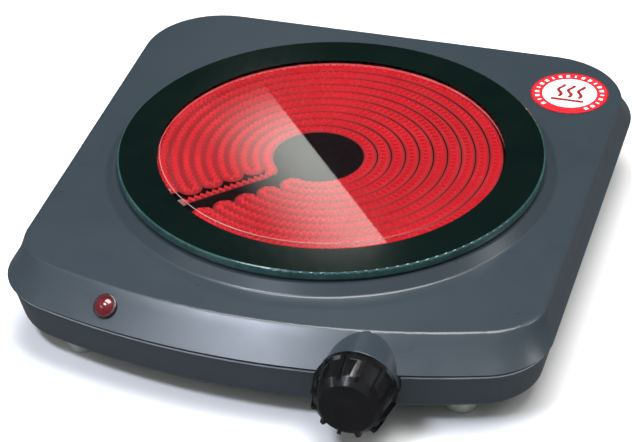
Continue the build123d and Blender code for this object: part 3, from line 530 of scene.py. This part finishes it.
def even(points, step):
    """The same line with evenly spaced points."""
    result, carried = [points[0]], 0.0
    for (x0, y0), (x1, y1) in zip(points, points[1:]):
        length = hypot(x1 - x0, y1 - y0)
        while carried + length >= step:
            k = (step - carried) / length
            x0, y0 = x0 + k * (x1 - x0), y0 + k * (y1 - y0)
            result.append((x0, y0))
            length = hypot(x1 - x0, y1 - y0)
            carried = 0.0
        carried += length
    return result


def sides(points):
    """Unit vector to the left of the line at each point."""
    result = []
    for k in range(len(points)):
        x0, y0 = points[max(0, k - 1)]
        x1, y1 = points[min(len(points) - 1, k + 1)]
        length = hypot(x1 - x0, y1 - y0) or 1.0
        result.append((-(y1 - y0) / length, (x1 - x0) / length))
    return result


def glow(name, low, high, ripple_scale):
    """Emission material, for the red-hot ribbon's own glow and for the ribbon's light painted as glow on the
    insulation; its colour uneven along the turns, brighter to the left.
    """
    material = bpy.data.materials.new(name)
    material.use_nodes = True
    t = Tree(material.node_tree)
    out = t.add("ShaderNodeOutputMaterial")
    body = t.add("ShaderNodeBsdfPrincipled")
    body.inputs["Base Color"].default_value = (0.05, 0.01, 0.01, 1)
    body.inputs["Roughness"].default_value = 0.7
    r, x, y, z = disc_radius(t)
    light_level = t.add("ShaderNodeAttribute", attribute_name="light_level_attribute")
    uneven = t.ramp(t.noise(ripple_scale, 3.0), 0.3, 0.7, 0.86, 1.1)
    leftward = t.ramp(t.math("ADD", x, t.math("MULTIPLY", y, 0.6)), -0.06, 0.03, 1.0, 0.0, smooth=True)
    level = t.math("MULTIPLY", light_level.outputs["Fac"], uneven)
    colour = t.mix(leftward, low, high)
    t.tree.links.new(colour, body.inputs["Emission Color"])
    t.tree.links.new(level, body.inputs["Emission Strength"])
    t.link(body, "BSDF", out, "Surface")
    return material


def store_light_levels(obj, values):
    attribute = obj.data.attributes.new("light_level_attribute", "FLOAT", "POINT")
    attribute.data.foreach_set("value", values)


def make_ribbon(points):
    """Thin corrugated strip standing on edge in the insulation."""
    line = even(points, 0.3)
    normal = sides(line)
    wave, swing, half, height = 3.1, 1.25, 0.14, 3.0
    vertices, faces = [], []
    for k, ((x, y), (nx, ny)) in enumerate(zip(line, normal)):
        offset = swing * sin(2 * pi * k * 0.3 / wave)
        for side in (-half, half):
            px, py = x + nx * (offset + side), y + ny * (offset + side)
            vertices.append(at_disc(px, py, BOARD_TOP))
            vertices.append(at_disc(px, py, BOARD_TOP + height * MM))
        if k:
            a, b = 4 * (k - 1), 4 * k
            faces += [(a, b, b + 1, a + 1), (a + 3, b + 3, b + 2, a + 2), (a + 1, b + 1, b + 3, a + 3),
                      (a + 2, b + 2, b, a)]
    end = len(vertices) - 4
    faces += [(0, 1, 3, 2), (end, end + 2, end + 3, end + 1)]
    material = glow("red_hot_ribbon", (0.70, 0.014, 0.027), (0.72, 0.030, 0.040), 35)
    obj = piece("corrugated_ribbon", vertices, faces, material, "hot_ribbon", smooth=False)
    store_light_levels(obj, [1.0] * len(vertices))
    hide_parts("heating_ribbon")
    return obj


def make_bed(points):
    """Painted light: emission on the insulation standing in for the ribbon's red light falling on it, under
    and beside the ribbon, darker between the turns.
    """
    line = even(points, 0.8)
    normal = sides(line)
    # painted light level across each turn: full under the ribbon, falling to half between the turns
    profile = ((-1.0, 0.50), (-0.80, 0.80), (-0.45, 1.0), (0.0, 1.0), (0.45, 1.0), (0.80, 0.80), (1.0, 0.50))
    half = PITCH / 2
    vertices, faces, light_level = [], [], []
    count = len(profile)
    for k, ((x, y), (nx, ny)) in enumerate(zip(line, normal)):
        lead = along(x, y) > 32 and abs(across(x, y)) < 1.0
        for share, level in profile:
            s = share * half * (0.55 if lead else 1.0)
            vertices.append(at_disc(x + nx * s, y + ny * s, BOARD_TOP + (0.05 + 0.25 * level) * MM))
            light_level.append(level * (0.75 if lead else 1.0))
        if k:
            a, b = count * (k - 1), count * k
            faces += [(a + j, b + j, b + j + 1, a + j + 1) for j in range(count - 1)]
    material = glow("painted_glow_bed", (0.62, 0.008, 0.018), (0.46, 0.008, 0.016), 28)
    obj = piece("painted_glow_bed", vertices, faces, material, "hot_ribbon")
    store_light_levels(obj, light_level)
    return obj


def make_painted_rim_glint():
    """Painted glint: a fine pale ring line just inside the window's front edge, standing in for the
    highlight on the rim's bevel.
    """
    centre, r, width = (-1.3, 2.2), 79.6, 0.17
    start, end, count = radians(186), radians(322), 160
    vertices, faces, light_level = [], [], []
    for k in range(count + 1):
        angle = start + (end - start) * k / count
        for rr, dz in ((r - width, 0.02), (r, 0.10), (r + width, 0.02)):
            vertices.append(at_disc(centre[0] + rr * cos(angle), centre[1] + rr * sin(angle),
                                    GLASS_TOP + dz * MM))
            light_level.append(sin(pi * k / count) ** 0.6)
        if k:
            a, b = 3 * (k - 1), 3 * k
            faces += [(a, a + 1, b + 1, b), (a + 1, a + 2, b + 2, b + 1)]
    material = bpy.data.materials.new("painted_rim_glint")
    material.use_nodes = True
    t = Tree(material.node_tree)
    out = t.add("ShaderNodeOutputMaterial")
    body = t.add("ShaderNodeBsdfPrincipled")
    # pale pink colour of the painted glint
    t.tree.links.new(t.mix(t.ramp(t.noise(90), 0.3, 0.7), (0.70, 0.42, 0.42), (0.80, 0.60, 0.58)),
                     body.inputs["Base Color"])
    t.tree.links.new(t.ramp(t.noise(400), 0.3, 0.7, 0.2, 0.4), body.inputs["Roughness"])
    # the painted glint is strongest mid-arc and fades out towards both ends
    fade = t.add("ShaderNodeAttribute", attribute_name="light_level_attribute")
    thin = t.math("MULTIPLY", fade.outputs["Fac"], t.ramp(t.noise(60, 4.0), 0.2, 0.8, 0.30, 0.75))
    t.tree.links.new(thin, body.inputs["Alpha"])
    t.link(body, "BSDF", out, "Surface")
    obj = piece("painted_rim_glint", vertices, faces, material, "hob_glass")
    store_light_levels(obj, light_level)
    return obj


RIBBON_LINE = ribbon_path()
make_ribbon(RIBBON_LINE)
make_bed(RIBBON_LINE)
make_painted_rim_glint()


# ------------------------------------------------------------------ round label
def ring_mesh(centre, r0, r1, z, count=128):
    vertices, faces = [], []
    for k in range(count):
        a = 2 * pi * k / count
        for r in (r0, r1):
            vertices.append(Vector((centre.x + r * cos(a), centre.y + r * sin(a), z)))
    for k in range(count):
        a, b = 2 * k, 2 * ((k + 1) % count)
        faces.append((a, a + 1, b + 1, b))
    return vertices, faces


def strip_mesh(points, width, z):
    vertices, faces = [], []
    for k, ((x, y), (nx, ny)) in enumerate(zip(points, sides(points))):
        for s in (-width / 2, width / 2):
            vertices.append(Vector((x + nx * s, y + ny * s, z)))
        if k:
            a, b = 2 * (k - 1), 2 * k
            faces.append((a, b, b + 1, a + 1))
    return vertices, faces


def joined(parts):
    vertices, faces = [], []
    for v, f in parts:
        base = len(vertices)
        vertices += v
        faces += [tuple(i + base for i in face) for face in f]
    return vertices, faces


def make_label():
    """Printed film: red ring with pale dashes, and a heat sign on a white field."""
    low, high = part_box("round_label")
    centre = (low + high) / 2
    radius = (high.x - low.x) / 2
    z = high.z
    film = [ring_mesh(centre, 0.0, radius, z + 0.00001)]
    rim = [ring_mesh(centre, radius * 0.965, radius, z + 0.00003)]
    band = [ring_mesh(centre, radius * 0.70, radius * 0.965, z + 0.00002)]
    dashes = []
    for k in range(26):
        a = 2 * pi * (k + 0.5) / 26
        if sin(a) < -0.82:
            continue
        size = 0.055 if k % 3 else 0.03
        arc_points = [(centre.x + radius * 0.835 * cos(a + d), centre.y + radius * 0.835 * sin(a + d))
                      for d in (-size, 0.0, size)]
        dashes.append(strip_mesh(arc_points, radius * 0.11, z + 0.00004))
    sign = []
    for shift in (-0.26, 0.0, 0.26):
        wave = [(centre.x + radius * (shift + 0.055 * sin(2 * pi * k / 24)),
                 centre.y + radius * (-0.20 + 0.60 * k / 32)) for k in range(33)]
        sign.append(strip_mesh(wave, radius * 0.085, z + 0.00004))
    bar = [(centre.x - radius * 0.42, centre.y - radius * 0.34), (centre.x, centre.y - radius * 0.34),
           (centre.x + radius * 0.42, centre.y - radius * 0.34)]
    sign.append(strip_mesh(bar, radius * 0.10, z + 0.00004))
    ink = dict(vary=0.10, vary_scale=350, rough_vary=0.08, bump=0.12, bump_scale=2500, coat=0.5)
    white = plain_surface("label_white", (0.84, 0.80, 0.80), 0.30, **ink)
    red = plain_surface("label_red", (0.62, 0.020, 0.030), 0.30, **ink)
    dark = plain_surface("label_dark_red", (0.30, 0.012, 0.018), 0.32, **ink)
    obj = piece("label_film", *joined(film), white, "label_paper", smooth=False)
    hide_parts("round_label")
    piece("label_rim", *joined(rim), dark, "label_paper", smooth=False)
    piece("label_band", *joined(band), red, "label_paper", smooth=False)
    piece("label_dashes", *joined(dashes), white, "label_paper", smooth=False)
    piece("label_heat_sign", *joined(sign), dark, "label_paper", smooth=False)


make_label()


# ------------------------------------------------------------------ stage
def stage_plane(name, corners, material):
    mesh = bpy.data.meshes.new(name)
    mesh.from_pydata([tuple(c) for c in corners], [], [(0, 1, 2, 3)])
    mesh.materials.append(material)
    obj = bpy.data.objects.new(name, mesh)
    bpy.context.scene.collection.objects.link(obj)
    return obj


def make_floor():
    material = plain_surface("pale_floor", (0.90, 0.90, 0.90), 0.85, vary=0.004, vary_scale=3, bump=0.02,
                             specular=0.2)
    s = 6.0
    floor = stage_plane("floor", [(-s, -s, 0), (s, -s, 0), (s, s, 0), (-s, s, 0)], material)
    floor.visible_glossy = False
    return floor


# name, place, what it points at, two sides in metres, watts, colour
SOFTBOXES = (
    ("top_softbox", (0.10, 0.20, 1.9), (0, 0, 0), 1.6, 1.1, 54, (1, 1, 1)),
    ("panel_softbox", (-0.36, -0.60, 1.12), (-0.03, -0.12, 0.037), 0.46, 0.20, 10.0, (0.80, 0.86, 1.0)),
    ("rim_softbox", (1.15, 0.30, 0.95), (0.05, 0, 0.05), 0.35, 0.5, 3.0, (1.0, 1.0, 0.98)),
    ("left_fill", (-1.4, -1.2, 0.8), (0, 0, 0.03), 0.9, 0.5, 3.5, (1, 1, 1)),
)


def area_light(name, at, aim, size_x, size_y, power, colour):
    data = bpy.data.lights.new(name, "AREA")
    data.shape = "RECTANGLE"
    data.size, data.size_y = size_x, size_y
    data.energy = power
    data.color = colour
    obj = bpy.data.objects.new(name, data)
    bpy.context.scene.collection.objects.link(obj)
    obj.location = at
    obj.rotation_euler = (Vector(aim) - Vector(at)).to_track_quat("-Z", "Y").to_euler()
    obj.visible_camera = False
    return obj


def window_card():
    """Softbox seen only in the glass: bright along one edge and fading away from it."""
    height = 0.50
    k = height / (CAM_AT.z - GLASS_TOP)
    shift = Vector((CAM_AT.x - DISC.x, CAM_AT.y - DISC.y, 0)) * k
    material = bpy.data.materials.new("window_card")
    material.use_nodes = True
    t = Tree(material.node_tree)
    out = t.add("ShaderNodeOutputMaterial")
    light = t.add("ShaderNodeEmission")
    split = t.tree.nodes.new("ShaderNodeSeparateXYZ")
    t.tree.links.new(t.position(), split.inputs[0])
    # back to millimetres on the disc
    x = t.math("MULTIPLY", t.math("SUBTRACT", split.outputs[0], DISC.x - shift.x), 1000 / (1 + k))
    y = t.math("MULTIPLY", t.math("SUBTRACT", split.outputs[1], DISC.y - shift.y), 1000 / (1 + k))
    depth = t.math("ADD", t.math("MULTIPLY", t.math("ADD", x, 17.0), -0.785),
                   t.math("MULTIPLY", t.math("SUBTRACT", y, 10.0), -0.620))
    r = t.math("SQRT", t.math("ADD", t.math("MULTIPLY", x, x), t.math("MULTIPLY", y, y)))
    inside = t.ramp(depth, -0.4, 0.4)
    fade = t.ramp(depth, 4.0, 48.0, 1.0, 0.0, smooth=True)
    # how far along the bright edge: it fades out at the upper left and a little at the lower right
    run = t.math("SUBTRACT", y, t.math("MULTIPLY", x, 1.27))
    ends = t.math("MULTIPLY", t.ramp(run, 15.0, 120.0, 1.0, 0.0, smooth=True),
                  t.ramp(run, -75.0, -10.0, 0.80, 1.0))
    disc = t.ramp(r, 80.0, 82.0, 1.0, 0.0)
    level = t.math("MULTIPLY", t.math("MULTIPLY", inside, fade), t.math("MULTIPLY", ends, disc))
    t.tree.links.new(t.math("MULTIPLY", level, 4.3), light.inputs["Strength"])
    light.inputs["Color"].default_value = (0.97, 1.0, 0.93, 1)
    t.link(light, "Emission", out, "Surface")
    z = GLASS_TOP + height
    cx, cy = DISC.x - shift.x, DISC.y - shift.y
    card = stage_plane("window_card", [(cx - 0.45, cy - 0.25, z), (cx + 0.45, cy - 0.25, z),
                                       (cx + 0.45, cy + 0.40, z), (cx - 0.45, cy + 0.40, z)], material)
    card.visible_camera = False
    card.visible_diffuse = False
    card.visible_shadow = False
    card.visible_transmission = False
    return card


def make_lights():
    world = bpy.data.worlds.new("studio")
    bpy.context.scene.world = world
    world.use_nodes = True
    t = Tree(world.node_tree)
    out = t.add("ShaderNodeOutputWorld")
    background = t.add("ShaderNodeBackground")
    background.inputs["Color"].default_value = (1.0, 1.0, 1.0, 1)
    # dim towards the back, which the glass and the deck mirror, and low all round
    way = t.tree.nodes.new("ShaderNodeTexCoord").outputs["Generated"]
    facing = t.add("ShaderNodeVectorMath", operation="DOT_PRODUCT")
    t.tree.links.new(way, facing.inputs[0])
    facing.inputs[1].default_value = (-0.232, 0.795, 0.560)
    rear = t.ramp(facing.outputs["Value"], 0.55, 0.93, 1.0, 0.22, smooth=True)
    split = t.tree.nodes.new("ShaderNodeSeparateXYZ")
    t.tree.links.new(way, split.inputs[0])
    low = t.ramp(split.outputs[2], 0.05, 0.75, 0.16, 0.36, smooth=True)
    t.tree.links.new(t.math("MULTIPLY", rear, low), background.inputs["Strength"])
    t.link(background, "Background", out, "Surface")
    for name, at, aim, size_x, size_y, power, colour in SOFTBOXES:
        area_light(name, at, aim, size_x, size_y, power, colour)
    scene = bpy.context.scene
    scene.view_settings.view_transform = "Standard"
    scene.view_settings.look = "None"


make_floor()
window_card()
make_lights()
